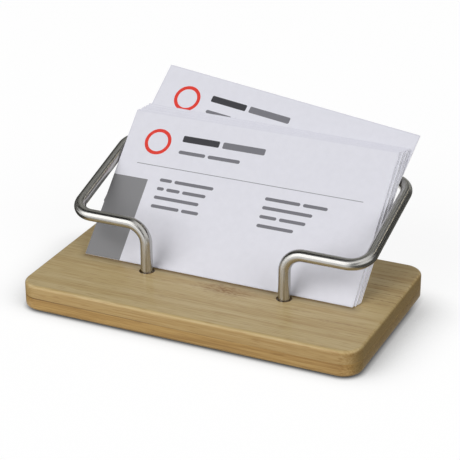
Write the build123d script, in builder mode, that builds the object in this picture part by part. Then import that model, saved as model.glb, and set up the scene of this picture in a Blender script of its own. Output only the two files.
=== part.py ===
"""Desk stand for business cards: a bent steel rod cradle on a two-ply bamboo base, loaded with cards.

Millimetres, +Z up. The origin is the middle of the base on the surface it stands on.
+X runs along the base and -Y is the front.
"""

from build123d import *

import os
from math import acos, atan2, cos, degrees, hypot, radians, sin, sqrt, tan

# Base board
base_length = 108.8
base_depth = 60.8
ply_thickness = 4.1
corner_radius = 6.0
edge_radius = 1.0

# Non-slip sheet under the board
sheet_thickness = 0.6
sheet_inset = 1.6

# Sockets for the legs
socket_play = 0.5
socket_depth = 6.4
glue_recess = 1.2

# Rod of the cradle, measured along its centre line
rod_diameter = 3.7
bend_radius = 6.0
leg_spacing = 45.5
leg_offset = 6.8
front_bar_height = 15.1
back_bar_height = 26.3
back_bar_offset = 32.3
side_play = 1.4

# Cards
card_width = 89.0
card_height = 51.0
card_thickness = 0.32
card_air = 0.02
card_gap = 0.3
foot_gap = 0.05

# Lie of the stack, front card first: the share of the drift to the right, and of the turn in degrees
front_card_shift = -1.1
stack_drift = 1.2
stack_turn = 0.9
stack_lie_shares = (
    (0.0, 0.0),
    (0.1, 0.08),
    (0.5, 0.36),
    (0.55, 0.3),
    (0.6, 0.45),
    (0.85, 0.7),
    (0.9, 0.66),
    (1.0, 1.0),
    (0.94, 0.86),
)

# Lie of the raised card, which is the last
raised_lift = 5.0
raised_shift = -3.75
raised_turn = 7.2

# Heights and places that follow from the sizes above
joint_height = sheet_thickness + ply_thickness
base_top = joint_height + ply_thickness
socket_floor = base_top - socket_depth
rod_radius = rod_diameter / 2
socket_radius = rod_radius + socket_play
leg_x = leg_spacing / 2
arm_x = card_width / 2 + side_play + rod_radius
front_bar_z = base_top + front_bar_height
back_bar_z = base_top + back_bar_height
leg_places = {"left": (-leg_x, -leg_offset), "right": (leg_x, -leg_offset)}

# The cards lean back until the ends of the last one meet the rear bends, which rise in front of the back bar
stack_count = len(stack_lie_shares)
card_pitch = card_thickness + card_air
stack_depth = stack_count * card_pitch + card_thickness
bend_rise_share = 0.45
bend_rise = bend_radius - sqrt(bend_radius**2 - (bend_radius - rod_radius) ** 2)
back_bar_gap = card_gap + bend_rise * bend_rise_share
front_foot_y = rod_radius + card_gap - leg_offset
reach = back_bar_offset - front_foot_y
bar_room = stack_depth + back_bar_gap + rod_radius
lean = acos(bar_room / hypot(reach, back_bar_height)) - atan2(back_bar_height, reach)
card_up = Vector(0, sin(lean), cos(lean))
card_out = Vector(0, -cos(lean), sin(lean))
foot_lift = card_thickness * tan(lean) + foot_gap / cos(lean)


def card_plane(layer, right_edge, lift, turn):
    """Plane of a card's face, with its origin at the lower right corner of the card.

    layer counts the cards in front of this one, lift is measured up the lean from the base,
    and turn lowers the right end, in degrees.
    """
    foot = Vector(right_edge, front_foot_y + layer * card_pitch / cos(lean), base_top)
    along = Vector(1, 0, 0) * cos(radians(turn)) - card_up * sin(radians(turn))
    return Plane(origin=foot + card_up * (foot_lift + lift), x_dir=along, z_dir=card_out)


os.makedirs("parts", exist_ok=True)

# Top layer of the board, bored through for the legs
with BuildPart() as upper_ply:
    with BuildSketch(Plane.XY.offset(joint_height)):
        RectangleRounded(base_length, base_depth, corner_radius)
    extrude(amount=ply_thickness)
    fillet(upper_ply.faces().sort_by(Axis.Z)[-1].edges(), radius=edge_radius)
    with BuildSketch(Plane.XY.offset(base_top)):
        with Locations(*leg_places.values()):
            Circle(socket_radius)
    extrude(amount=-ply_thickness, mode=Mode.SUBTRACT)
upper_ply.part.label = "upper_ply"
export_step(upper_ply.part, "parts/upper_ply.step")

# Bottom layer of the board, which closes the sockets
with BuildPart() as lower_ply:
    with BuildSketch(Plane.XY.offset(sheet_thickness)):
        RectangleRounded(base_length, base_depth, corner_radius)
    extrude(amount=ply_thickness)
    fillet(lower_ply.faces().sort_by(Axis.Z)[0].edges(), radius=edge_radius)
    with BuildSketch(Plane.XY.offset(joint_height)):
        with Locations(*leg_places.values()):
            Circle(socket_radius)
    extrude(amount=ply_thickness - socket_depth, mode=Mode.SUBTRACT)
lower_ply.part.label = "lower_ply"
export_step(lower_ply.part, "parts/lower_ply.step")

# Thin sheet that the board stands on, kept back from the edges of the board
with BuildPart() as non_slip_sheet:
    with BuildSketch():
        RectangleRounded(base_length, base_depth, corner_radius)
        offset(amount=-sheet_inset, mode=Mode.REPLACE)
    extrude(amount=sheet_thickness)
non_slip_sheet.part.label = "non_slip_sheet"
export_step(non_slip_sheet.part, "parts/non_slip_sheet.step")

# One rod: leg, front bar, arm, back bar, and the same again on the other side
half_route = (
    (leg_x, -leg_offset, socket_floor),
    (leg_x, -leg_offset, front_bar_z),
    (arm_x, -leg_offset, front_bar_z),
    (arm_x, back_bar_offset, back_bar_z),
)
other_half = tuple((-x, y, z) for x, y, z in reversed(half_route))
with BuildPart() as wire_cradle:
    with BuildLine() as route:
        FilletPolyline(*half_route, *other_half, radius=bend_radius)
    with BuildSketch(Plane(origin=route.line @ 0, z_dir=route.line % 0)):
        Circle(rod_radius)
    sweep(path=route.line)
wire_cradle.part.label = "wire_cradle"
export_step(wire_cradle.part, "parts/wire_cradle.step")

# Glue that fills each socket round its leg, to a little below the top of the board
for side, place in leg_places.items():
    with BuildPart() as adhesive:
        with BuildSketch(Plane.XY.offset(socket_floor)):
            with Locations(place):
                Circle(socket_radius)
                Circle(rod_radius, mode=Mode.SUBTRACT)
        extrude(amount=socket_depth - glue_recess)
    adhesive.part.label = f"{side}_leg_adhesive"
    export_step(adhesive.part, f"parts/{side}_leg_adhesive.step")

# Stack of cards, each standing on the board on its lower right corner
for layer, (drift_share, turn_share) in enumerate(stack_lie_shares):
    right_edge = card_width / 2 + front_card_shift + stack_drift * drift_share
    with BuildPart() as card:
        with BuildSketch(card_plane(layer, right_edge, 0, stack_turn * turn_share)):
            Rectangle(card_width, card_height, align=(Align.MAX, Align.MIN))
        extrude(amount=-card_thickness)
    card.part.label = f"card_{layer + 1:02d}"
    export_step(card.part, f"parts/card_{layer + 1:02d}.step")

# Last card, pulled up and tilted, held between the stack and the back bar
with BuildPart() as raised_card:
    with BuildSketch(card_plane(stack_count, card_width / 2 + raised_shift, raised_lift, raised_turn)):
        Rectangle(card_width, card_height, align=(Align.MAX, Align.MIN))
    extrude(amount=-card_thickness)
raised_card.part.label = "raised_card"
export_step(raised_card.part, "parts/raised_card.step")

print(f"The cards lean back {degrees(lean):.2f} degrees")
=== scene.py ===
"""Looks of a desk stand for business cards: a bamboo base, a bent steel rod and a loaded stack of cards.

Blender works in metres. The fields below are in millimetres, in the CAD model's frame:
the origin is the middle of the base on the surface it stands on, +Z is up and -Y is the front.
Only the studio's fields are in metres.
"""

import logging
import math
from contextlib import contextmanager
from dataclasses import dataclass, field
from enum import Enum
from functools import partial
from typing import Any, Callable, Iterator, Sequence

import bmesh
import bpy
from mathutils import Matrix, Vector


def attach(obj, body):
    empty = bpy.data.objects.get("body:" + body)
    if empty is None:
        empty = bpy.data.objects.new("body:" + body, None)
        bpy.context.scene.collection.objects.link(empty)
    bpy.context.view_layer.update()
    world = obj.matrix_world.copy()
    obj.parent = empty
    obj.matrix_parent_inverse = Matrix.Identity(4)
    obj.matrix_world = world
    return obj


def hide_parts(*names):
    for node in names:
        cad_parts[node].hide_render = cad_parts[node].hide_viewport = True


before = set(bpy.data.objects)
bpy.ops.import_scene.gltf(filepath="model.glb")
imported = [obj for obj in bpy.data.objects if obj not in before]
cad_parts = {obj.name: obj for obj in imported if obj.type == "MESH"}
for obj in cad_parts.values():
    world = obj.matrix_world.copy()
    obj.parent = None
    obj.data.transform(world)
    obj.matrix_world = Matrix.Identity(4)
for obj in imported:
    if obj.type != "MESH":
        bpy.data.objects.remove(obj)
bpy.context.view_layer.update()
MM = 0.001
# Heights closer than TINY are the same height, and places closer than NEAR are the same place.
TINY = 0.001 * MM
NEAR = 0.01 * MM
Piece = bpy.types.Object
Socket = bpy.types.NodeSocket
Pair = tuple[float, float]
Point = tuple[float, float, float]
Inputs = dict[int | str, Any] | Sequence[Any]
Adder = Callable[..., bpy.types.NodeOutputs]
EdgeTest = Callable[[Vector, Vector], bool]
log = logging.getLogger("card_stand")


def linear(hex_colour: str) -> tuple[float, float, float, float]:
    """Turns an sRGB hex colour to linear values with full alpha.

    Args:
        hex_colour: A colour such as "#DADAE2".

    Returns:
        Red, green, blue and alpha for a colour socket.
    """
    parts = [int(hex_colour[i : i + 2], 16) / 255 for i in (1, 3, 5)]
    # The curve of the sRGB standard
    red, green, blue = (p / 12.92 if p <= 0.04045 else ((p + 0.055) / 1.055) ** 2.4 for p in parts)
    return red, green, blue, 1.0


def add_node(
    tree: bpy.types.NodeTree,
    kind: str,
    inputs: Inputs = (),
    stops: Sequence[tuple[float, str]] = (),
    **settings: Any,
) -> bpy.types.NodeOutputs:
    """Adds a node, sets its properties, and fills or links its inputs.

    Args:
        tree: The node tree that gets the node.
        kind: The node's type name, less the "ShaderNode" that it starts with.
        inputs: Values or output sockets, in order or by input name or number.
        stops: Places and hex colours of a colour ramp, which starts out with two stops.
        **settings: Properties of the node.

    Returns:
        The new node's outputs.
    """
    made = tree.nodes.new(f"ShaderNode{kind}")
    for name, value in settings.items():
        setattr(made, name, value)
    for number, (place, colour) in enumerate(stops):
        elements = made.color_ramp.elements
        stop = elements[number] if number < len(elements) else elements.new(place)
        stop.position = place
        stop.color = linear(colour)
    for socket, value in inputs.items() if isinstance(inputs, dict) else enumerate(inputs):
        if isinstance(value, Socket):
            tree.links.new(value, made.inputs[socket])
        else:
            made.inputs[socket].default_value = value
    return made.outputs


def box_distance(add: Adder, place: Socket, low: Point, high: Point) -> Socket:
    """Measures from a place to the nearest point of a box.

    Args:
        add: Adds a node to the tree.
        place: The place.
        low: The box's corner with the least coordinates.
        high: The opposite corner.

    Returns:
        The distance, which is 0 inside the box.
    """
    near = add("VectorMath", (place, low), operation="MAXIMUM")[0]
    near = add("VectorMath", (near, high), operation="MINIMUM")[0]
    return add("VectorMath", (place, near), operation="DISTANCE")["Value"]


def open_tree(owner: bpy.types.Material | bpy.types.World) -> Adder:
    """Empties the node tree of a material or a world.

    Args:
        owner: The material or world.

    Returns:
        What adds a node to that tree.
    """
    owner.use_nodes = True
    owner.node_tree.nodes.clear()
    return partial(add_node, owner.node_tree)


def new_material(name: str, paint: Callable[[Adder], Inputs]) -> bpy.types.Material:
    """Makes a material with one shader.

    Args:
        name: The material's name.
        paint: Adds the finish's nodes and gives the shader's inputs.

    Returns:
        The material.
    """
    material = bpy.data.materials.new(name)
    add = open_tree(material)
    shader = add("BsdfPrincipled", paint(add))
    add("OutputMaterial", {"Surface": shader[0]})
    return material


def pick_only(piece: Piece) -> None:
    """Makes a piece the only selected object and the active one.

    Args:
        piece: The piece.
    """
    bpy.ops.object.select_all(action="DESELECT")
    piece.select_set(True)
    bpy.context.view_layer.objects.active = piece


@contextmanager
def editing(piece: Piece) -> Iterator[None]:
    """Keeps one piece in edit mode for as long as the context lasts.

    Args:
        piece: The piece.
    """
    pick_only(piece)
    bpy.ops.object.mode_set(mode="EDIT")
    yield
    bpy.ops.object.mode_set(mode="OBJECT")


def add_box(name: str, low: Point, high: Point) -> Piece:
    """Adds a box.

    Args:
        name: The box's name.
        low: Its corner with the least coordinates.
        high: The opposite corner.

    Returns:
        The box, with its place and size in its mesh.
    """
    middle = [(a + b) / 2 * MM for a, b in zip(low, high)]
    size = [(b - a) * MM for a, b in zip(low, high)]
    bpy.ops.mesh.primitive_cube_add(size=1.0, location=middle, scale=size)
    bpy.ops.object.transform_apply()
    bpy.context.object.name = name
    return bpy.context.object


def upright(one: Vector, other: Vector) -> bool:
    """Says whether the edge between two places rises."""
    return abs(one.z - other.z) > TINY


def at_height(height: float) -> EdgeTest:
    """Gives a test for the edges that lie level at a height."""
    return lambda one, other: max(abs(one.z - height * MM), abs(other.z - height * MM)) < TINY


def select_edges(piece: Piece, test: EdgeTest) -> None:
    """Selects, in edit mode, only the edges that pass a test.

    Args:
        piece: The object in edit mode.
        test: Told the places of an edge's two ends, says whether it is wanted.
    """
    bpy.ops.mesh.select_mode(type="EDGE")
    bpy.ops.mesh.select_all(action="DESELECT")
    mesh = bmesh.from_edit_mesh(piece.data)
    for edge in mesh.edges:
        if test(edge.verts[0].co, edge.verts[1].co):
            edge.select_set(True)
    bmesh.update_edit_mesh(piece.data)


def bevel(piece: Piece, width: float, test: EdgeTest, steps: int = 1) -> None:
    """Bevels, in edit mode, the edges that pass a test, to a width and with a number of faces across."""
    select_edges(piece, test)
    bpy.ops.mesh.bevel(offset=width * MM, segments=steps, affect="EDGES")


def apply_modifier(piece: Piece, kind: str, **settings: Any) -> None:
    """Adds a modifier to a piece, sets it and applies it.

    Args:
        piece: The object that gets the modifier.
        kind: The modifier's type name.
        **settings: Properties of the modifier.
    """
    pick_only(piece)
    modifier = piece.modifiers.new(kind.lower(), kind)
    for name, value in settings.items():
        setattr(modifier, name, value)
    bpy.ops.object.modifier_apply(modifier=modifier.name)


def cut_away(piece: Piece, cutter: Piece) -> None:
    """Cuts one object out of a piece and deletes it."""
    apply_modifier(piece, "BOOLEAN", object=cutter, operation="DIFFERENCE", solver="EXACT")
    bpy.data.objects.remove(cutter, do_unlink=True)


def smooth(piece: Piece, angle: float) -> None:
    """Shades a piece smooth across its rounded edges and keeps its flat faces flat.

    Args:
        piece: The object to shade.
        angle: Degrees between faces past which an edge stays sharp.
    """
    pick_only(piece)
    bpy.ops.object.shade_smooth_by_angle(angle=math.radians(angle))
    apply_modifier(piece, "WEIGHTED_NORMAL", keep_sharp=True, weight=100)


class Side(Enum):
    """The two halves of the stand."""

    LEFT = -1
    RIGHT = 1


class Ink(Enum):
    """The inks of the cards' print."""

    PANEL = "#7F7F81"
    RULE = "#8A8A90"
    HEADING = "#38383C"
    TEXT = "#727278"
    MARK = "#D63A2E"


@dataclass(frozen=True)
class Grain:
    """Noise drawn out to streaks: their size along x, y and z, octaves, and the range of values that shows."""

    size: Point
    detail: float
    span: Pair = (0.3, 0.7)

    def draw(self, add: Adder, place: Socket, shift: float = 0.0) -> Socket:
        """Draws the noise.

        Args:
            add: Adds a node to the material's tree.
            place: The coordinates to draw it by.
            shift: Moves the pattern, so that two layers of wood differ.

        Returns:
            The noise, from 0 to 1.
        """
        scale = [1 / (s * MM) for s in self.size]
        moved = (shift, shift * 2, shift * 3)
        drawn = add("Mapping", {"Vector": place, "Location": moved, "Scale": scale})[0]
        return add("TexNoise", {"Vector": drawn, "Scale": 1.0, "Detail": self.detail})[0]


@dataclass(frozen=True)
class GrainMark:
    """A place on the top where the cane's joint or a brown fibre shows: its middle, half sizes and strength.

    Its outline frays, and fades between two distances, where 1 is its half size.
    """

    x: float
    y: float
    half_length: float
    half_width: float
    strength: float
    z: float = 8.8
    half_depth: float = 2.0
    fray: float = 1.2
    fade: Pair = (1.7, 0.7)


@dataclass(frozen=True)
class PaintedFootShade:
    """A painted shade on the top along the cards' feet, where the cards shade the board: its ends, its y, its
    width and strength.

    Its outline frays, and fades between two distances, where 1 is its width.
    """

    left: float
    right: float
    y: float
    width: float
    strength: float
    z: float = 8.8
    fray: float = 0.5
    fade: Pair = (1.25, 0.25)


@dataclass(frozen=True)
class LacqueredBamboo:
    """Laminated bamboo, planed along the fibres, sanded and sealed with satin lacquer.

    That gives straight fine fibres with little figure, soft bands where strips of the cane meet,
    short brown dashes of sap vessels that turn to dots on the ends, and a gentle shine.
    """

    name: str
    pale: str
    middle: str
    deep: str
    brown: str
    shift: float
    joint_height: float
    joint_strength: float
    streak_share: float
    side_tint: str
    side_tint_shaded_right: str
    marks: tuple[GrainMark, ...] = ()
    painted_foot_shades: tuple[PaintedFootShade, ...] = ()
    # The colour of the painted shade along the cards' feet
    dust: str = "#5E4A2C"
    fibre: Grain = Grain((17.0, 0.42, 0.42), 3.0)
    fibre_share: float = 0.56
    tones: Point = (0.36, 0.5, 0.64)
    band: Grain = Grain((150.0, 3.4, 3.4), 1.0)
    streak: Grain = Grain((70.0, 1.0, 1.0), 2.0, (0.56, 0.72))
    vessel: Grain = Grain((5.0, 0.34, 0.34), 0.0, (0.6, 0.74))
    vessel_share: float = 0.3
    ragged: Grain = Grain((2.4, 0.8, 0.8), 2.0)
    mottle: Grain = Grain((1.3, 0.5, 0.5), 1.0, (0.38, 0.6))
    mottle_low: float = 0.3
    side_span: Pair = (0.7, 0.1)
    side_reach: Pair = (-50.0, 50.0)
    end: str = "#957C4D"
    end_deep: str = "#836B40"
    end_stops: Pair = (0.36, 0.6)
    end_span: Pair = (0.6, 0.95)
    end_share: float = 0.9
    glue: str = "#5E4526"
    glue_width: Pair = (0.24, 0.1)
    glue_reach: Pair = (-50.0, 40.0)
    glue_fade: Pair = (1.0, 0.1)
    pore: Grain = Grain((20.0, 0.4, 0.4), 3.0)
    roughness: Pair = (0.42, 0.56)
    film_span: Pair = (0.9, 1.0)
    film: Pair = (0.25, 0.5)

    def paint_face(self, add: Adder, place: Socket, fibre: Socket) -> Socket:
        """Paints the fibres, streaks, sap vessels and cane joints, and a painted shade along the cards' feet.

        Args:
            add: Adds a node to the material's tree.
            place: Object coordinates.
            fibre: Noise of the fibres.

        Returns:
            The colour of the planed face.
        """
        band, ragged = (g.draw(add, place, self.shift) for g in (self.band, self.ragged))
        tone = add("Math", (fibre, self.fibre_share), operation="MULTIPLY")[0]
        tone = add("Math", (band, 1 - self.fibre_share, tone), operation="MULTIPLY_ADD")[0]
        low, half, high = self.tones
        stops = ((low, self.deep), (high, self.pale), (half, self.middle))
        colour = add("ValToRGB", (tone,), stops=stops)[0]
        streak, vessel, mottle = (
            add("MapRange", (grain.draw(add, place, self.shift), *grain.span, least, most))[0]
            for grain, least, most in (
                (self.streak, 0.0, self.streak_share),
                (self.vessel, 0.0, self.vessel_share),
                (self.mottle, self.mottle_low, 1.0),
            )
        )
        brown = add("Math", (streak, vessel), operation="MAXIMUM")[0]
        for mark in self.marks:
            middle = [v * MM for v in (mark.x, mark.y, mark.z)]
            half_size = [v * MM for v in (mark.half_length, mark.half_width, mark.half_depth)]
            mapped = {"Vector": place, "Location": middle, "Scale": half_size}
            off = add("Mapping", mapped, vector_type="TEXTURE")[0]
            off = add("VectorMath", (off,), operation="LENGTH")["Value"]
            off = add("Math", (ragged, mark.fray, off), operation="MULTIPLY_ADD")[0]
            here = add("MapRange", (off, *mark.fade, 0.0, mark.strength))[0]
            here = add("Math", (here, mottle), operation="MULTIPLY")[0]
            brown = add("Math", (brown, here), operation="MAXIMUM")[0]
        colour = add("Mix", {0: brown, 6: colour, 7: linear(self.brown)}, data_type="RGBA")[2]
        # Painted shade: the top darkens along the cards' feet, where the leaning cards shade it.
        for foot_shade in self.painted_foot_shades:
            width = foot_shade.width * MM
            off = box_distance(add, place, *((x * MM, foot_shade.y * MM, foot_shade.z * MM) for x in (foot_shade.left, foot_shade.right)))
            off = add("Math", (ragged, foot_shade.fray * width, off), operation="MULTIPLY_ADD")[0]
            here = add("MapRange", (off, *(f * width for f in foot_shade.fade), 0.0, foot_shade.strength))[0]
            colour = add("Mix", {0: here, 6: colour, 7: linear(self.dust)}, data_type="RGBA")[2]
        return colour

    def paint_edges(self, add: Adder, place: Socket, fibre: Socket, colour: Socket) -> Socket:
        """Deepens the sides, with a painted shade that darkens them towards the right, browns the ends, and
        draws the glue line, which fades to the right.

        Args:
            add: Adds a node to the material's tree.
            place: Object coordinates.
            fibre: Noise of the fibres, which end in dots.
            colour: The colour of the face.

        Returns:
            The colour all round.
        """
        # Cut edges drink more lacquer than the faces of the strips.
        facing = add("TexCoord")["Normal"]
        facing = add("VectorMath", (facing,), operation="ABSOLUTE")[0]
        facing = add("SeparateXYZ", (facing,))
        spot = add("SeparateXYZ", (place,))
        # Painted shade: the sides' tint darkens from left to right, as if the light falls from the left.
        along = add("MapRange", (spot[0], *(x * MM for x in self.side_reach), 0.0, 1.0))[0]
        shaded_tint = add("Mix", {0: along, 6: linear(self.side_tint), 7: linear(self.side_tint_shaded_right)}, data_type="RGBA")[2]
        side = add("MapRange", (facing[2], *self.side_span, 0.0, 1.0))[0]
        colour = add("Mix", {0: side, 6: colour, 7: shaded_tint}, data_type="RGBA", blend_type="MULTIPLY")[2]
        end = add("MapRange", (facing[0], *self.end_span, 0.0, self.end_share))[0]
        stops = tuple(zip(self.end_stops, (self.end_deep, self.end)))
        dots = add("ValToRGB", (fibre,), stops=stops)[0]
        colour = add("Mix", {0: end, 6: colour, 7: dots}, data_type="RGBA")[2]
        off = add("Math", (spot[2], self.joint_height * MM), operation="SUBTRACT")[0]
        off = add("Math", (off,), operation="ABSOLUTE")[0]
        line = add("MapRange", (off, *(w * MM for w in self.glue_width), 0.0, self.joint_strength))[0]
        fade = add("MapRange", (spot[0], *(x * MM for x in self.glue_reach), *self.glue_fade))[0]
        line = add("Math", (line, fade), operation="MULTIPLY")[0]
        return add("Mix", {0: line, 6: colour, 7: linear(self.glue)}, data_type="RGBA")[2]

    def paint(self, add: Adder) -> Inputs:
        """Adds the finish's nodes.

        Args:
            add: Adds a node to the material's tree.

        Returns:
            The shader's inputs.
        """
        place = add("TexCoord")["Object"]
        fibre, pores = (g.draw(add, place, self.shift) for g in (self.fibre, self.pore))
        face = self.paint_face(add, place, fibre)
        # Lacquer flows to an even film on the top and is rubbed thin on the rounded edges.
        facing = add("TexCoord")["Normal"]
        facing = add("SeparateXYZ", (facing,))[2]
        return {
            "Base Color": self.paint_edges(add, place, fibre, face),
            "Roughness": add("MapRange", (pores, *self.pore.span, *self.roughness))[0],
            "Normal": add("Bump", {"Strength": 0.25, "Distance": 0.04 * MM, "Height": pores})[0],
            "IOR": 1.5,
            "Specular IOR Level": 0.3,
            "Coat Weight": add("MapRange", (facing, *self.film_span, *self.film))[0],
            "Coat Roughness": 0.22,
        }


@dataclass(frozen=True)
class GroundStainlessSteel:
    """Stainless steel rod, ground round in a centreless grinder, then bent.

    That gives a warm grey satin mirror. The grit's fine rings smear what it mirrors along the rod and leave
    it sharper round the rod, and the bending tools leave faint lines along it.
    """

    name: str = "ground_stainless_steel"
    pale: str = "#CBCAC7"
    deep: str = "#AEACA7"
    attribute: str = "straight_rod"
    # The real lines are finer than 0.1 mm. They are drawn at 0.3 mm so that they show.
    lines: Grain = Grain((0.3, 0.3, 40.0), 2.0)
    roughness: Pair = (0.2, 0.3)

    def paint(self, add: Adder) -> Inputs:
        """Adds the finish's nodes.

        Args:
            add: Adds a node to the material's tree.

        Returns:
            The shader's inputs.
        """
        place = add("Attribute", attribute_name=self.attribute)["Vector"]
        lines = self.lines.draw(add, place)
        stops = ((0.35, self.deep), (0.65, self.pale))
        return {
            "Base Color": add("ValToRGB", (lines,), stops=stops)[0],
            "Roughness": add("MapRange", (lines, *self.lines.span, *self.roughness))[0],
            "Normal": add("Bump", {"Strength": 0.3, "Distance": 0.01 * MM, "Height": lines})[0],
            "Tangent": add("Tangent", direction_type="UV_MAP")[0],
            "Anisotropic": 0.8,
            "Metallic": 1.0,
        }


@dataclass(frozen=True)
class Bar:
    """A bar of ink with rounded ends: the middle of its left end, its length, its height and its ink.

    A round share of 1 makes half circles of its ends, and a line width makes it an outline.
    """

    left: float
    level: float
    length: float
    height: float
    ink: Ink
    round_share: float = 1.0
    line_width: float = 0.0

    def cover(self, add: Adder, spot: Socket) -> Socket:
        """Says where the bar's ink lies, with crisp edges.

        Args:
            add: Adds a node to the material's tree.
            spot: Places on the card's face, from its lower left corner.

        Returns:
            1 on the ink and 0 off it.
        """
        round_off = self.height / 2 * self.round_share
        half = self.height / 2 - round_off
        low = (self.left + round_off, self.level - half, 0.0)
        high = (self.left + self.length - round_off, self.level + half, 0.0)
        far = box_distance(add, spot, low, high)
        inked = add("Math", (far, round_off), operation="LESS_THAN")[0]
        if not self.line_width:
            return inked
        rim = add("Math", (far, round_off - self.line_width), operation="GREATER_THAN")[0]
        return add("Math", (inked, rim), operation="MULTIPLY")[0]


@dataclass(frozen=True)
class CardStock:
    """Uncoated card, calendered smooth, cut with a guillotine and printed in offset.

    That gives a cool white that is hardly shiny, with a faint cloud of fibres in it and flat, crisp ink on it.
    The size is the width and height that the UV map of a printed face spans.
    """

    name: str
    pale: str = "#DADAE2"
    deep: str = "#D7D7DF"
    relief: float = 0.1
    bars: tuple[Bar, ...] = ()
    size: Pair = (0.0, 0.0)
    cloud: Grain = Grain((2.2, 2.2, 2.2), 3.0)
    tooth: Grain = Grain((0.5, 0.5, 0.5), 2.0)
    roughness: Pair = (0.55, 0.65)
    rim: float = 0.5
    painted_rim_shade: str = "#DCDCE4"
    painted_rim_shade_share: float = 0.35

    def print_on(self, add: Adder, colour: Socket) -> Socket:
        """Prints on the card's face and paints a thin shade along its rim.

        Args:
            add: Adds a node to the material's tree.
            colour: The colour of the bare card.

        Returns:
            The colour of the face.
        """
        spread = add("TexCoord")["UV"]
        spot = add("Mapping", {"Vector": spread, "Scale": (*self.size, 1.0)})[0]
        for ink in Ink:
            covered: Socket | float = 0.0
            for bar in (b for b in self.bars if b.ink is ink):
                covered = add("Math", (covered, bar.cover(add, spot)), operation="MAXIMUM")[0]
            colour = add("Mix", {0: covered, 6: colour, 7: linear(ink.value)}, data_type="RGBA")[2]
        # Painted shade: the face darkens along its rim, standing in for the soft shadow where one card lies
        # over the next.
        middle = (self.size[0] / 2, self.size[1] / 2, 0.0)
        out = add("VectorMath", (spot, middle), operation="SUBTRACT")[0]
        out = add("VectorMath", (out,), operation="ABSOLUTE")[0]
        out = add("VectorMath", (out, middle), operation="SUBTRACT")[0]
        out = add("SeparateXYZ", (out,))
        rim = add("Math", (out[0], out[1]), operation="MAXIMUM")[0]
        rim = add("MapRange", (rim, -self.rim, 0.0, 0.0, self.painted_rim_shade_share))[0]
        shaded = {0: rim, 6: colour, 7: linear(self.painted_rim_shade)}
        return add("Mix", shaded, data_type="RGBA", blend_type="MULTIPLY")[2]

    def paint(self, add: Adder) -> Inputs:
        """Adds the finish's nodes.

        Args:
            add: Adds a node to the material's tree.

        Returns:
            The shader's inputs.
        """
        place = add("TexCoord")["Object"]
        cloud, tooth = (g.draw(add, place) for g in (self.cloud, self.tooth))
        stops = tuple(zip(self.cloud.span, (self.deep, self.pale)))
        colour = add("ValToRGB", (cloud,), stops=stops)[0]
        return {
            "Base Color": self.print_on(add, colour) if self.bars else colour,
            "Roughness": add("MapRange", (tooth, *self.tooth.span, *self.roughness))[0],
            "Normal": add("Bump", {"Strength": self.relief, "Distance": 0.01 * MM, "Height": tooth})[0],
            "IOR": 1.45,
            "Specular IOR Level": 0.35,
        }


@dataclass(frozen=True)
class CastEpoxy:
    """Two-part epoxy, poured round the legs and darkened with wood dust: brown, glossy and a little uneven."""

    name: str = "poured_epoxy"
    pale: str = "#6E5737"
    deep: str = "#4A3923"
    dust: Grain = Grain((0.6, 0.6, 0.6), 2.0)
    roughness: Pair = (0.2, 0.4)

    def paint(self, add: Adder) -> Inputs:
        """Adds the finish's nodes.

        Args:
            add: Adds a node to the material's tree.

        Returns:
            The shader's inputs.
        """
        dust = self.dust.draw(add, add("TexCoord")["Object"])
        stops = ((0.35, self.deep), (0.65, self.pale))
        return {
            "Base Color": add("ValToRGB", (dust,), stops=stops)[0],
            "Roughness": add("MapRange", (dust, *self.dust.span, *self.roughness))[0],
        }


@dataclass(frozen=True)
class FoamRubber:
    """Closed-cell rubber sheet, die-cut and stuck on: near black, dull, with a skin of fine cells."""

    name: str = "closed_cell_rubber"
    # Its near-black tone is the rubber's own and also stands in for the contact shadow under the board's edge,
    # as painted shade.
    pale: str = "#34373C"
    deep: str = "#212327"
    # The real cells are about 0.2 mm. They are drawn at 0.7 mm so that they show.
    cell_size: float = 0.7
    cell_share: float = 0.5
    cloud: Grain = Grain((5.0, 5.0, 5.0), 3.0)
    roughness: Pair = (0.75, 0.9)

    def paint(self, add: Adder) -> Inputs:
        """Adds the finish's nodes.

        Args:
            add: Adds a node to the material's tree.

        Returns:
            The shader's inputs.
        """
        place = add("TexCoord")["Object"]
        cells = add("TexVoronoi", {"Vector": place, "Scale": 1 / (self.cell_size * MM)})[0]
        cloud = self.cloud.draw(add, place)
        mixed = add("Math", (cells, self.cell_share, cloud), operation="MULTIPLY_ADD")[0]
        stops = ((0.45, self.deep), (0.95, self.pale))
        return {
            "Base Color": add("ValToRGB", (mixed,), stops=stops)[0],
            "Roughness": add("MapRange", (cloud, *self.cloud.span, *self.roughness))[0],
            "Normal": add("Bump", {"Strength": 0.4, "Distance": 0.05 * MM, "Height": cells})[0],
        }


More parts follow.
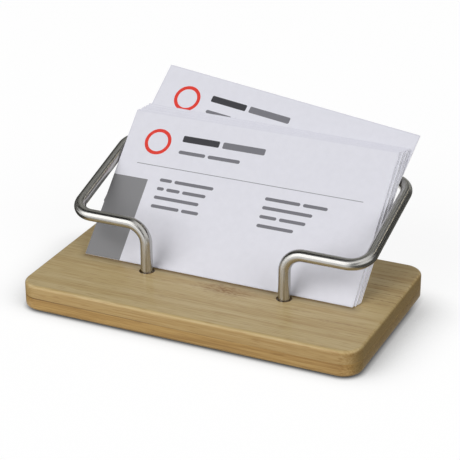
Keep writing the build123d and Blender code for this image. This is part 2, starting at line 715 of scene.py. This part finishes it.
@dataclass
class Board:
    """The base: two layers of bamboo glued together, bored for the legs, on a non-slip sheet."""

    length: float = 108.8
    depth: float = 60.8
    ply: float = 4.1
    sheet: float = 0.6
    corner_radius: float = 6.0
    corner_steps: int = 14
    edge_radius: float = 1.0
    edge_steps: int = 6
    joint_chamfer: float = 0.05
    socket_radius: float = 2.35
    socket_depth: float = 6.4
    mouth_chamfer: float = 0.15
    mouth_steps: int = 2
    drum_sides: int = 64
    sharp_angle: float = 35.0
    leg_x: float = 22.75
    leg_y: float = -6.8
    leg_radius: float = 1.85
    glue_recess: float = 0.3
    left_glue_slope: Point = (-0.13, 0.07, 1.0)
    right_glue_slope: Point = (-0.03, 0.05, 1.0)
    marks: tuple[GrainMark, ...] = (
        GrainMark(4.6, -8.9, 10.5, 4.0, 1.0),
        GrainMark(3.0, -9.6, 16.0, 0.6, 0.7),
        GrainMark(-18.0, -10.6, 13.0, 0.45, 0.4),
        GrainMark(44.0, -14.6, 12.0, 0.6, 0.7),
        GrainMark(28.0, -12.0, 10.0, 0.6, 0.5),
        # Fine streaks at the rear right, in three staggered columns, every second one stronger
        *(GrainMark(52.0 - 4.0 * (n % 3), 1.4 + 2.3 * n, 15.0, 0.4, 0.6 + 0.3 * (n % 2)) for n in range(11)),
    )
    # Painted shade along the front card's foot: a wide soft band and a narrow dark line.
    painted_foot_shades: tuple[PaintedFootShade, ...] = (
        PaintedFootShade(-44.8, 43.6, -4.65, 3.4, 0.36),
        PaintedFootShade(-45.2, 43.6, -4.65, 1.2, 0.55),
    )

    @property
    def joint(self) -> float:
        """Height of the glued joint."""
        return self.sheet + self.ply

    @property
    def top(self) -> float:
        """Height of the top face."""
        return self.joint + self.ply

    def drum(self, side: Side, radius: float, low: float) -> Piece:
        """Models a drum on a leg's axis, which ends well above the board.

        Args:
            side: The leg's side.
            radius: The drum's radius.
            low: Height of its underside.

        Returns:
            The drum.
        """
        high = self.top + self.ply
        bpy.ops.mesh.primitive_cylinder_add(
            vertices=self.drum_sides,
            radius=radius * MM,
            depth=(high - low) * MM,
            location=(side.value * self.leg_x * MM, self.leg_y * MM, (low + high) / 2 * MM),
        )
        bpy.ops.object.transform_apply()
        return bpy.context.object

    def layer(self, name: str, low: float, high: float, rounded: float) -> Piece:
        """Models one layer: a slab with rounded corners, one rounded rim and one thin chamfer at the joint.

        Args:
            name: The piece's name.
            low: Height of its underside.
            high: Height of its upper side.
            rounded: Height of the rim that is rounded, which is one of those two.

        Returns:
            The layer, with its sockets.
        """
        x, y = self.length / 2, self.depth / 2
        piece = add_box(name, (-x, -y, low), (x, y, high))
        with editing(piece):
            bevel(piece, self.corner_radius, upright, self.corner_steps)
            bevel(piece, self.edge_radius, at_height(rounded), self.edge_steps)
            bevel(piece, self.joint_chamfer, at_height(self.joint))
        for side in Side:
            cut_away(piece, self.drum(side, self.socket_radius, self.top - self.socket_depth))
        return piece

    def ease_mouths(self, piece: Piece) -> None:
        """Takes the sharp edge off the sockets' mouths.

        Args:
            piece: The upper layer.
        """

        def on_mouth(spot: Vector) -> bool:
            """Says whether a place lies on the rim of a mouth."""
            reach = math.hypot(abs(spot.x) - self.leg_x * MM, spot.y - self.leg_y * MM)
            return abs(reach - self.socket_radius * MM) < NEAR and abs(spot.z - self.top * MM) < NEAR

        with editing(piece):
            bevel(piece, self.mouth_chamfer, lambda a, b: on_mouth(a) and on_mouth(b), self.mouth_steps)

    def pour_glue(self, side: Side) -> Piece:
        """Models the glue round one leg, which set a little out of level and lowest at the leg's rear left.

        Args:
            side: The leg's side.

        Returns:
            The collar of glue.
        """
        middle = Vector((side.value * self.leg_x, self.leg_y, self.top - self.glue_recess))
        slope = self.left_glue_slope if side is Side.LEFT else self.right_glue_slope
        low = self.top - self.socket_depth
        collar = self.drum(side, self.socket_radius, low)
        collar.name = f"epoxy_collar_{side.name.lower()}"
        leg = self.drum(side, self.leg_radius, low - self.ply)
        with editing(collar):
            bpy.ops.mesh.select_all(action="SELECT")
            bpy.ops.mesh.bisect(plane_co=middle * MM, plane_no=slope, use_fill=True, clear_outer=True)
        cut_away(collar, leg)
        smooth(collar, self.sharp_angle)
        return collar

    def build(self) -> list[Piece]:
        """Models and dresses the two layers and the glue, and dresses the sheet.

        Returns:
            The pieces of the base.
        """
        upper = self.layer("bamboo_top_layer", self.joint, self.top, self.top)
        self.ease_mouths(upper)
        lower = self.layer("bamboo_bottom_layer", self.sheet, self.joint, self.sheet)
        finishes = {
            "bamboo_upper": LacqueredBamboo(
                "lacquered_bamboo_top",
                pale="#C5B185",
                middle="#BAA372",
                deep="#AC8F5D",
                brown="#8A6430",
                shift=3.7,
                joint_height=self.joint,
                joint_strength=0.75,
                streak_share=0.2,
                side_tint="#FFF4E6",
                side_tint_shaded_right="#F5E9DB",
                marks=self.marks,
                painted_foot_shades=self.painted_foot_shades,
            ),
            "bamboo_lower": LacqueredBamboo(
                "lacquered_bamboo_bottom",
                pale="#C9AA6B",
                middle="#B9975A",
                deep="#A38047",
                brown="#7F5A2A",
                shift=11.3,
                joint_height=self.joint,
                joint_strength=0.6,
                streak_share=0.5,
                side_tint="#FBF6F3",
                side_tint_shaded_right="#ECE6E6",
            ),
        }
        for piece, node, slot in ((upper, "upper_ply", "bamboo_upper"), (lower, "lower_ply", "bamboo_lower")):
            smooth(piece, self.sharp_angle)
            piece.data.materials.append(new_material(finishes[slot].name, finishes[slot].paint))
            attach(piece, "stand")
            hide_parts(node)
        epoxy = new_material(CastEpoxy.name, CastEpoxy().paint)
        collars = [self.pour_glue(side) for side in Side]
        for collar, side in zip(collars, Side):
            collar.data.materials.append(epoxy)
            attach(collar, "stand")
            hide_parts(f"{side.name.lower()}_leg_adhesive")
        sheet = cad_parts["non_slip_sheet"]
        sheet.data.materials.clear()
        sheet.data.materials.append(new_material(FoamRubber.name, FoamRubber().paint))
        return [upper, lower, *collars, sheet]


@dataclass
class Ring:
    """A cross-section of the rod: its middle, two directions across it, and the length of rod before it."""

    middle: Vector
    across: Vector
    over: Vector
    length: float


@dataclass
class WireCradle:
    """The bent rod: leg, front bar, arm and half the back bar, mirrored."""

    radius: float = 1.85
    bend_radius: float = 6.0
    sides: int = 48
    bend_steps: int = 18
    foot_z: float = 2.4
    foot_chamfer: float = 0.4
    foot_steps: int = 2
    leg_x: float = 22.75
    leg_y: float = -6.8
    arm_x: float = 47.75
    front_bar_z: float = 23.9
    back_bar_y: float = 32.3
    back_bar_z: float = 35.1
    sharp_angle: float = 50.0
    ring_slack: float = 1.01
    rings: list[Ring] = field(default_factory=list)

    def run(self, step: Vector) -> None:
        """Draws the rod out straight.

        Args:
            step: The way and distance.
        """
        bpy.ops.mesh.extrude_region_move(TRANSFORM_OT_translate={"value": step * MM})
        last = self.rings[-1]
        self.rings.append(Ring(last.middle + step, last.across, last.over, last.length + step.length))

    def bend(self, heading: Vector, towards: Vector) -> None:
        """Bends the rod through a right angle.

        Args:
            heading: The way it runs before the bend.
            towards: The way it runs after it.
        """
        last = self.rings[-1]
        pivot = last.middle + towards * self.bend_radius
        axis = heading.cross(towards)
        # The spin tool turns clockwise round its axis.
        bpy.ops.mesh.spin(
            steps=self.bend_steps, angle=math.pi / 2, center=pivot * MM, axis=-axis, use_auto_merge=False
        )
        for step in range(1, self.bend_steps + 1):
            angle = math.pi / 2 * (step / self.bend_steps)
            turn = Matrix.Rotation(angle, 3, axis)
            middle = pivot + turn @ (last.middle - pivot)
            length = last.length + angle * self.bend_radius
            self.rings.append(Ring(middle, turn @ last.across, turn @ last.over, length))

    def straighten(self, piece: Piece) -> None:
        """Keeps, for each point of the rod, its place on the rod before it was bent, and maps it by that.

        Args:
            piece: The half rod.
        """
        unbent = []
        for vertex in piece.data.vertices:
            spot = vertex.co / MM
            best = min(
                self.rings,
                key=lambda ring: abs((spot - ring.middle).dot(ring.across.cross(ring.over)))
                + max(0.0, (spot - ring.middle).length - self.radius * self.ring_slack),
            )
            out = spot - best.middle
            unbent.append(Vector((out.dot(best.across), out.dot(best.over), best.length)) * MM)
        spread = piece.data.uv_layers.active or piece.data.uv_layers.new(name="rod")
        for polygon in piece.data.polygons:
            middle = sum((unbent[number] for number in polygon.vertices), Vector()).xy
            for loop, number in zip(polygon.loop_indices, polygon.vertices):
                around = math.atan2(middle.y, middle.x) - middle.angle_signed(unbent[number].xy)
                spread.data[loop].uv = (unbent[number].z, around * self.radius * MM)
        attribute = piece.data.attributes.new(GroundStainlessSteel.attribute, "FLOAT_VECTOR", "POINT")
        for number, spot in enumerate(unbent):
            attribute.data[number].vector = spot

    def build(self) -> list[Piece]:
        """Models and dresses the rod.

        Returns:
            The rod, as a list of one piece.
        """
        foot = Vector((self.leg_x, self.leg_y, self.foot_z))
        climb = Vector((0.0, self.back_bar_y - self.leg_y, self.back_bar_z - self.front_bar_z))
        rise, right, back = Vector((0.0, 0.0, 1.0)), Vector((1.0, 0.0, 0.0)), climb.normalized()
        bpy.ops.mesh.primitive_circle_add(vertices=self.sides, radius=self.radius * MM, location=foot * MM)
        piece = bpy.context.object
        piece.name = "steel_rod_cradle"
        bpy.ops.object.transform_apply()
        self.rings = [Ring(foot, right, Vector((0.0, 1.0, 0.0)), 0.0)]
        with editing(piece):
            bpy.ops.mesh.select_all(action="SELECT")
            self.run(rise * (self.front_bar_z - self.bend_radius - self.foot_z))
            self.bend(rise, right)
            self.run(right * (self.arm_x - self.leg_x - 2 * self.bend_radius))
            self.bend(right, back)
            self.run(back * (climb.length - 2 * self.bend_radius))
            self.bend(back, -right)
            self.run(-right * (self.arm_x - self.bend_radius))
        self.straighten(piece)
        with editing(piece):
            select_edges(piece, at_height(self.foot_z))
            bpy.ops.mesh.edge_face_add()
            bevel(piece, self.foot_chamfer, at_height(self.foot_z), self.foot_steps)
        apply_modifier(piece, "MIRROR", use_axis=(True, False, False), merge_threshold=NEAR)
        with editing(piece):
            bpy.ops.mesh.select_all(action="SELECT")
            bpy.ops.mesh.remove_doubles(threshold=TINY)
            bpy.ops.mesh.normals_make_consistent(inside=False)
        smooth(piece, self.sharp_angle)
        piece.data.materials.append(new_material(GroundStainlessSteel.name, GroundStainlessSteel().paint))
        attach(piece, "stand")
        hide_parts("wire_cradle")
        return [piece]


@dataclass(frozen=True)
class Lie:
    """How one card lies: the cards in front of it, its shift to the right, lift, and turn in degrees."""

    node: str
    layer: int
    shift: float
    lift: float
    turn: float


@dataclass
class CardStack:
    """The loaded cards, leaning on the back bar, the last one pulled up and tilted."""

    width: float = 89.0
    height: float = 51.0
    thickness: float = 0.32
    air: float = 0.02
    foot_gap: float = 0.05
    corner_ease: float = 0.2
    corner_steps: int = 3
    edge_ease: float = 0.02
    lean: float = 46.598667
    foot_y: float = -4.65
    board_top: float = 8.8
    front_shift: float = -1.1
    drift: float = 1.2
    turn: float = 0.9
    drift_shares: tuple[float, ...] = (0.0, 0.1, 0.5, 0.55, 0.6, 0.85, 0.9, 1.0, 0.94)
    turn_shares: tuple[float, ...] = (0.0, 0.08, 0.36, 0.3, 0.45, 0.7, 0.66, 1.0, 0.86)
    raised_lift: float = 5.0
    raised_shift: float = -3.75
    raised_turn: float = 7.2
    flat_normal: float = 0.99
    row_levels: tuple[float, ...] = (28.6, 25.6, 22.6, 19.6)
    text_height: float = 1.1
    word_gap: float = 0.9
    square: float = 0.002

    def lies(self) -> list[Lie]:
        """The lie of every card, front card first."""
        stack = [
            Lie(f"card_{layer + 1:02d}", layer, self.front_shift + self.drift * drift, 0.0, self.turn * turn)
            for layer, (drift, turn) in enumerate(zip(self.drift_shares, self.turn_shares))
        ]
        return [*stack, Lie("raised_card", len(stack), self.raised_shift, self.raised_lift, self.raised_turn)]

    def place(self, lie: Lie) -> Matrix:
        """Says where a card lies.

        Args:
            lie: The card's lie.

        Returns:
            The matrix that takes the flat card, with its lower right corner at the origin, to its place.
        """
        lean, turn = math.radians(self.lean), math.radians(lie.turn)
        up = Vector((0.0, math.sin(lean), math.cos(lean)))
        out = Vector((0.0, -math.cos(lean), math.sin(lean)))
        along = Vector((math.cos(turn), 0.0, 0.0)) - up * math.sin(turn)
        lift = self.thickness * math.tan(lean) + self.foot_gap / math.cos(lean) + lie.lift
        foot_y = self.foot_y + lie.layer * (self.thickness + self.air) / math.cos(lean)
        corner = Vector((self.width / 2 + lie.shift, foot_y, self.board_top)) + up * lift
        turned = Matrix((along, out.cross(along), out)).transposed().to_4x4()
        return Matrix.Translation(corner * MM) @ turned

    def print_bars(self) -> tuple[Bar, ...]:
        """Lays out the print: a block in one corner, a plain ring, bars that stand for words, and one rule.

        Returns:
            The bars of ink.
        """
        bars = [
            Bar(0.0, 14.0, 12.0, 28.0, Ink.PANEL, self.square),
            Bar(6.4, 41.2, 9.0, 9.0, Ink.MARK, line_width=1.15),
            Bar(19.0, 43.6, 12.6, 2.2, Ink.HEADING, 0.4),
            Bar(32.8, 43.6, 14.4, 2.2, Ink.TEXT, 0.4),
            Bar(19.0, 38.9, 9.2, 1.2, Ink.TEXT),
            Bar(29.1, 38.9, 11.0, 1.2, Ink.TEXT),
            Bar(6.4, 33.0, 76.2, 0.24, Ink.RULE, self.square),
        ]
        # The left edge of each column, and the lengths of the words in its rows
        columns = {
            16.0: ((4.2, 13.4), (2.4, 4.6, 8.0), (15.4,), (9.6, 5.8)),
            52.0: ((11.6, 8.0), (16.4,), (5.6, 8.6), (12.0,)),
        }
        for edge, rows in columns.items():
            for level, lengths in zip(self.row_levels, rows):
                left = edge
                for length in lengths:
                    bars.append(Bar(left, level, length, self.text_height, Ink.TEXT))
                    left += length + self.word_gap
        return tuple(bars)

    def model(self) -> Piece:
        """Models one card flat, face up, with its lower right corner at the origin.

        Returns:
            The card, with its face in the second material slot and its cut edges in the third.
        """
        piece = add_box("flat_card", (-self.width, 0.0, -self.thickness), (0.0, self.height, 0.0))
        with editing(piece):
            bevel(piece, self.corner_ease, upright, self.corner_steps)
            bevel(piece, self.edge_ease, lambda a, b: not upright(a, b))
        spread = piece.data.uv_layers.active or piece.data.uv_layers.new(name="card_face")
        for loop in piece.data.loops:
            spot = piece.data.vertices[loop.vertex_index].co / MM
            spread.data[loop.index].uv = ((spot.x + self.width) / self.width, spot.y / self.height)
        for polygon in piece.data.polygons:
            facing = polygon.normal.z
            polygon.material_index = 1 if facing > self.flat_normal else 0 if facing < -self.flat_normal else 2
        return piece

    def build(self) -> list[Piece]:
        """Models one card, copies it to each place and dresses it.

        Returns:
            The cards, front card first.
        """
        stocks = (
            CardStock("calendered_card"),
            CardStock("printed_card_face", bars=self.print_bars(), size=(self.width, self.height)),
            # The cut bares the core of the card, which is whiter than its face. The edges' near-white colour is
            # also painted light, standing in for the light that shines through the card.
            CardStock("guillotined_card_edge", pale="#FBFBFE", deep="#F8F8FC", relief=0.01),
        )
        first = self.model()
        for stock in stocks:
            first.data.materials.append(new_material(stock.name, stock.paint))
        pieces = []
        for lie in self.lies():
            pick_only(first)
            bpy.ops.object.duplicate(linked=False)
            piece = bpy.context.object
            piece.name = piece.data.name = f"paper_{lie.node}"
            piece.matrix_world = self.place(lie)
            bpy.ops.object.transform_apply()
            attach(piece, lie.node)
            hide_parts(lie.node)
            pieces.append(piece)
        bpy.data.objects.remove(first, do_unlink=True)
        return pieces


@dataclass
class PhotoCamera:
    """The camera at the photograph's viewpoint, on an image of 460 by 460."""

    place: Point = (191.745, -410.021, 232.946)
    azimuth: float = 24.819
    elevation: float = 24.793
    roll: float = 0.257
    focal_pixels: float = 1662.971
    image_pixels: float = 460.0
    sensor: float = 36.0
    clip: Pair = (10.0, 20000.0)

    def build(self) -> None:
        """Makes the camera and gives it to the scene."""
        data = bpy.data.cameras.new("photo_camera")
        data.sensor_width = self.sensor
        data.lens = self.focal_pixels / self.image_pixels * self.sensor
        data.clip_start, data.clip_end = (c * MM for c in self.clip)
        camera = bpy.data.objects.new("photo_camera", data)
        bpy.context.scene.collection.objects.link(camera)
        camera.matrix_world = Matrix.Translation(Vector(self.place) * MM)
        for angle, axis in ((self.azimuth, "Z"), (90.0 - self.elevation, "X"), (-self.roll, "Z")):
            camera.matrix_world @= Matrix.Rotation(math.radians(angle), 4, axis)
        bpy.context.scene.camera = camera


@dataclass(frozen=True)
class Softbox:
    """A square lamp: its place, its width and its power in watts."""

    name: str
    place: Point
    width: float
    power: float


@dataclass(frozen=True)
class Flag:
    """A panel that only reflections see: its middle, size, colour, turn in degrees and glow."""

    name: str
    place: Point
    size: Pair
    colour: str
    turn: Point = (0.0, 0.0, 0.0)
    glow: float = 1.0


@dataclass(frozen=True)
class Shade:
    """A soft shadow on the floor: how far it reaches, how far its light leans to the front, and its depth."""

    reach: float
    tilt: float
    power: float


@dataclass
class Studio:
    """A pale floor, soft lamps, panels for the steel to mirror, and a white surround.

    The floor glows to the eye alone, so that it is seen as white. Shades dim that glow round the stand's foot,
    inside a box and a reach about it.
    """

    white: str = "#FFFFFF"
    ambient: float = 0.13
    floor_width: float = 6.0
    floor_colour: str = "#A0A0A0"
    floor_share: str = "#6A6A6A"
    floor_glow: float = 0.885
    shade_low: Point = (-0.0544, -0.0304, 0.0)
    shade_high: Point = (0.0544, 0.0144, 0.0)
    shade_reach: float = 0.021
    shade_samples: int = 16
    shades: tuple[Shade, ...] = (Shade(0.063, 48.0, 1.62), Shade(0.0017, 35.0, 1.3))
    aim: Point = (0.0, 0.0, 0.02)
    softboxes: tuple[Softbox, ...] = (
        Softbox("front_left_softbox", (-2.45, -4.26, 3.19), 5.6, 310.0),
        Softbox("front_right_softbox", (4.64, -1.24, 3.36), 4.0, 166.0),
        Softbox("rear_softbox", (0.5, 4.2, 0.18), 0.36, 30.0),
    )
    flags: tuple[Flag, ...] = (
        Flag("front_left_panel", (-2.53, -4.39, 2.93), (5.6, 5.6), "#FFFFFF", (60.0, 0.0, -30.0), 2.1),
        Flag("camera_flag", (0.465, -1.278, 0.634), (0.75, 1.2), "#1E1E1D", (65.0, 0.0, 20.0)),
        Flag("rear_strip", (0.88, 0.85, 1.18), (0.12, 0.4), "#FFF3D6", glow=3.6),
        Flag("rear_right_flag", (1.1, 0.935, 1.19), (2.0, 1.23), "#3C3C3A"),
        Flag("overhead_flag", (-1.05, -0.165, 1.2), (2.1, 1.05), "#1C1C1B"),
        Flag("rear_upper_flag", (0.0, 0.935, 1.2), (4.2, 1.23), "#9C9C98"),
        Flag("rear_flag", (0.0, 1.55, 0.6), (4.0, 1.2), "#A4A4A1", (90.0, 0.0, 0.0)),
        Flag("right_flag", (1.2, 1.15, 0.6), (2.0, 1.2), "#262625", (90.0, 0.0, -90.0)),
        Flag("right_floor_flag", (0.6555, 0.3, 0.0005), (1.2, 2.0), "#5E5E5A"),
        Flag("left_flag", (-1.2, 0.55, 0.6), (2.0, 1.2), "#4A4A47", (90.0, 0.0, 90.0)),
        Flag("left_floor_flag", (-0.6555, 0.6, 0.0005), (1.2, 1.3), "#363633"),
    )

    def seen(self, add: Adder) -> Socket:
        """Tells the rays that show a surround from those that light the object.

        Args:
            add: Adds a node to a material's or the world's tree.

        Returns:
            1 for camera, glossy and transmission rays, and 0 for the rest.
        """
        path = add("LightPath")
        seen = add("Math", (path["Is Camera Ray"], path["Is Glossy Ray"]), operation="MAXIMUM")[0]
        return add("Math", (seen, path["Is Transmission Ray"]), operation="MAXIMUM")[0]

    def surround(self) -> None:
        """Lights the object softly from all round and shows white."""
        world = bpy.data.worlds.new("white_surround")
        add = open_tree(world)
        soft = add("Background", (linear(self.white), self.ambient))[0]
        white = add("Background", (linear(self.white), 1.0))[0]
        mixed = add("MixShader", (self.seen(add), soft, white))[0]
        add("OutputWorld", (mixed,))
        bpy.context.scene.world = world

    def floor(self) -> None:
        """Lays a pale floor that is seen as white where no shadow falls."""
        bpy.ops.mesh.primitive_plane_add(size=self.floor_width)
        floor = bpy.context.object
        floor.name = "studio_floor"
        material = bpy.data.materials.new("pale_floor")
        add = open_tree(material)
        # The glow is shaded where the stand hides the light.
        clear: Socket | float = 1.0
        for shade in self.shades:
            tilt = math.radians(shade.tilt)
            sky = add("CombineXYZ", (0.0, -math.sin(tilt), math.cos(tilt)))[0]
            looked = {"Distance": shade.reach, "Normal": sky}
            sight = add("AmbientOcclusion", looked, samples=self.shade_samples)["AO"]
            sight = add("Math", (sight, shade.power), operation="POWER")[0]
            clear = add("Math", (sight, clear), operation="MULTIPLY")[0]
        off = add("TexCoord")["Object"]
        off = box_distance(add, off, self.shade_low, self.shade_high)
        span = (off, 0.0, self.shade_reach, 1.0, 0.0)
        near = add("MapRange", span, interpolation_type="SMOOTHSTEP")[0]
        clear = add("Mix", {0: near, 2: 1.0, 3: clear})[0]
        clear = add("Math", (clear, self.floor_glow), operation="MULTIPLY")[0]
        glow = add("Emission", (linear(self.white), clear))[0]
        bright = add("BsdfDiffuse", (linear(self.floor_share),))[0]
        lifted = add("AddShader", (bright, glow))[0]
        dull = add("BsdfDiffuse", (linear(self.floor_colour),))[0]
        mixed = add("MixShader", (self.seen(add), dull, lifted))[0]
        add("OutputMaterial", (mixed,))
        floor.data.materials.append(material)

    def hang(self, flag: Flag) -> None:
        """Hangs a panel where only reflections see it.

        Args:
            flag: The panel.
        """
        turn = [math.radians(a) for a in flag.turn]
        bpy.ops.mesh.primitive_plane_add(size=1.0, location=flag.place, rotation=turn)
        panel = bpy.context.object
        panel.name = flag.name
        panel.scale = (*flag.size, 1.0)
        material = bpy.data.materials.new(flag.name)
        add = open_tree(material)
        glow = add("Emission", (linear(flag.colour), flag.glow))[0]
        add("OutputMaterial", (glow,))
        panel.data.materials.append(material)
        panel.visible_camera = panel.visible_diffuse = panel.visible_shadow = panel.visible_transmission = False

    def light(self, box: Softbox) -> None:
        """Sets up a lamp that faces the stand.

        Args:
            box: The lamp.
        """
        data = bpy.data.lights.new(box.name, "AREA")
        data.shape = "SQUARE"
        data.size = box.width
        data.energy = box.power
        lamp = bpy.data.objects.new(box.name, data)
        lamp.visible_glossy = False
        bpy.context.scene.collection.objects.link(lamp)
        lamp.location = box.place
        lamp.rotation_euler = (Vector(self.aim) - Vector(box.place)).to_track_quat("-Z", "Y").to_euler()

    def build(self) -> None:
        """Sets up the whole studio and the plain colour transform."""
        self.surround()
        self.floor()
        for flag in self.flags:
            self.hang(flag)
        for box in self.softboxes:
            self.light(box)
        bpy.context.scene.view_settings.view_transform = "Standard"


def main() -> None:
    """Builds the stand, its cards and the studio, and reports each piece."""
    logging.basicConfig(level=logging.INFO, format="%(name)s: %(message)s")
    PhotoCamera().build()
    for assembly in (Board(), WireCradle(), CardStack()):
        for piece in assembly.build():
            log.info("%s: %s with %d faces", type(assembly).__name__, piece.name, len(piece.data.polygons))
    Studio().build()


if __name__ == "__main__":
    main()
